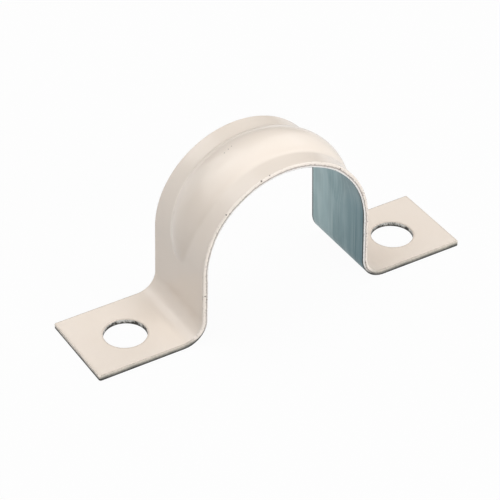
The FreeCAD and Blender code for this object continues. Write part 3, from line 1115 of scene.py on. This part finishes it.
@dataclass
class Studio:
    """A pale floor, soft lamps and the camera at the photograph's viewing angle.

    Lens and sensor are in millimetres. The camera's azimuth is from straight in front, negative
    to the left, and its roll is its lean to one side. The floor is lit as grey paper, and shows
    the white shares to the camera and to reflections.
    """

    azimuth: float = math.radians(-31.46)
    elevation: float = math.radians(37.03)
    roll: float = math.radians(0.29)
    distance: float = 376.4 * MM
    target: tuple[float, float, float] = (-2.342 * MM, 0.1445 * MM, 8.788 * MM)
    lens: float = 153.15
    sensor: float = 36.0
    nearest: float = 0.01
    farthest: float = 50.0
    floor_half: float = 4.0
    paper: str = "c8c8c8"
    seen_white: float = 0.96
    mirrored_white: float = 0.5
    reach: float = 1.2
    room: float = 0.02
    boxes: tuple[SoftBox, ...] = (
        SoftBox("overhead_box", 0, 90, 0.9, 4.0),
        SoftBox("back_box", 122, 52, 0.9, 3.9),
        SoftBox("left_box", 174, 52, 0.9, 3.6),
        SoftBox("left_front_box", 226, 52, 0.8, 0.7),
        SoftBox("right_box", 20, 52, 0.8, 2.5),
        SoftBox("low_front_box", 288, 20, 0.85, 11.8),
        SoftBox("low_back_box", 120, 20, 0.9, 1.9),
        SoftBox("low_right_box", 20, 20, 0.8, 1.5))

    def set_camera(self) -> None:
        """Places the camera."""
        a, e = self.azimuth, self.elevation
        back = Vector((math.sin(a) * math.cos(e), -math.cos(a) * math.cos(e), math.sin(e)))
        right = Vector((0, 0, 1)).cross(back).normalized()
        up = back.cross(right)
        across = right * math.cos(self.roll) + up * math.sin(self.roll)
        rise = up * math.cos(self.roll) - right * math.sin(self.roll)
        data = bpy.data.cameras.new("camera")
        data.lens, data.sensor_width = self.lens, self.sensor
        data.clip_start, data.clip_end = self.nearest, self.farthest
        camera = bpy.data.objects.new("camera", data)
        turn = Matrix((across, rise, back)).transposed().to_4x4()
        camera.matrix_world = Matrix.Translation(Vector(self.target) + back * self.distance) @ turn
        bpy.context.scene.collection.objects.link(camera)
        bpy.context.scene.camera = camera

    def lay_floor(self) -> None:
        """Lays the pale floor that the strap stands on."""
        h = self.floor_half
        mesh = bpy.data.meshes.new("floor")
        mesh.from_pydata([(-h, -h, 0), (h, -h, 0), (h, h, 0), (-h, h, 0)], [], [(0, 1, 2, 3)])
        floor = bpy.data.objects.new("floor", mesh)
        bpy.context.scene.collection.objects.link(floor)
        mesh.materials.append(self.white_paper())

    def white_paper(self) -> bpy.types.Material:
        """Makes the floor's paper, which keeps shadows but is nearly white to the camera.

        Returns:
            The material.
        """
        material = bpy.data.materials.new("white_paper")
        material.use_nodes = True
        tree = material.node_tree
        tree.nodes.remove(tree.nodes["Principled BSDF"])
        paper = add_node(tree, "ShaderNodeBsdfDiffuse", {"Color": linear(self.paper)})
        white = add_node(tree, "ShaderNodeEmission", {"Color": linear("ffffff"), "Strength": 1.0})
        ray = add_node(tree, "ShaderNodeLightPath")
        seen = add_node(tree, "ShaderNodeMath", {"operation": "MULTIPLY", 1: self.seen_white},
                        {0: ray.outputs["Is Camera Ray"]})
        share = add_node(tree, "ShaderNodeMath", {
            "operation": "MULTIPLY_ADD", 1: self.mirrored_white},
            {0: ray.outputs["Is Glossy Ray"], 2: seen.outputs[0]})
        mix = add_node(tree, "ShaderNodeMixShader", {},
                       {0: share.outputs[0], 1: paper.outputs[0], 2: white.outputs[0]})
        tree.links.new(mix.outputs[0], tree.nodes["Material Output"].inputs["Surface"])
        return material

    def hang_box(self, box: SoftBox) -> None:
        """Hangs a soft box that faces the strap.

        Args:
            box: the box.
        """
        data = bpy.data.lights.new(box.name, "AREA")
        data.size, data.energy = box.side, box.power
        lamp = bpy.data.objects.new(box.name, data)
        azimuth, elevation = math.radians(box.azimuth), math.radians(box.elevation)
        toward = Vector((math.cos(elevation) * math.cos(azimuth),
                         math.cos(elevation) * math.sin(azimuth), math.sin(elevation)))
        lamp.location = toward * self.reach
        lamp.rotation_mode = "QUATERNION"
        lamp.rotation_quaternion = toward.to_track_quat("Z", "Y")
        bpy.context.scene.collection.objects.link(lamp)

    def fill_room(self) -> None:
        """Fills the room with a little plain light."""
        world = bpy.data.worlds.new("room")
        bpy.context.scene.world = world
        world.use_nodes = True
        background = world.node_tree.nodes["Background"]
        background.inputs["Color"].default_value = linear("ffffff")
        background.inputs["Strength"].default_value = self.room

    def build(self) -> None:
        """Sets up camera, floor, lamps and room."""
        self.set_camera()
        self.lay_floor()
        for box in self.boxes:
            self.hang_box(box)
        self.fill_room()
        bpy.context.scene.view_settings.view_transform = "Standard"


def strap_from_frame() -> Strap:
    """Reads the strap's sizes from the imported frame.

    Returns:
        The strap, ready to build.
    """
    low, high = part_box("strap")
    screws, seat = mount("screw_holes"), mount("conduit_seat")
    sheet = screws["pos_m"][2]
    arch_radius = seat["dims"]["r_mm"] * MM
    strip = BentStrip(high.x - low.x, high.y - low.y, sheet, arch_radius, seat["pos_m"][2])
    rib = PressedRib(strip, high.z - strip.arch_centre_height - strip.outer_radius)
    reach = strip.station_at(screws["dims"]["spacing_x_mm"] * MM / 2)
    holes = [ScrewHole(side * reach, screws["pos_m"][1], screws["dims"]["hole_r_mm"] * MM)
             for side in (-1, 1)]
    outline = CutEdge(sheet, roll=0.3 * MM, end_roll=0.12 * MM,
                      roll_surface=Surface.SHEARED, surface=Surface.SHEARED)
    punched = CutEdge(sheet, roll=0.1 * MM, end_roll=0.1 * MM,
                      roll_surface=Surface.PAINTED, surface=Surface.PUNCHED)
    return Strap(strip, rib, holes, outline, punched)


def main() -> None:
    """Builds the strap and the studio."""
    logging.basicConfig(level=logging.INFO, format="%(message)s")
    strap = strap_from_frame()
    piece = strap.build("strap_sheet")
    strap.dress(piece)
    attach(piece, "root")
    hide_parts("strap")
    LOG.info("%s: %d faces, rib %.2f mm high", piece.name, len(piece.data.polygons),
             strap.rib.height / MM)
    Studio().build()


if __name__ == "__main__":
    main()
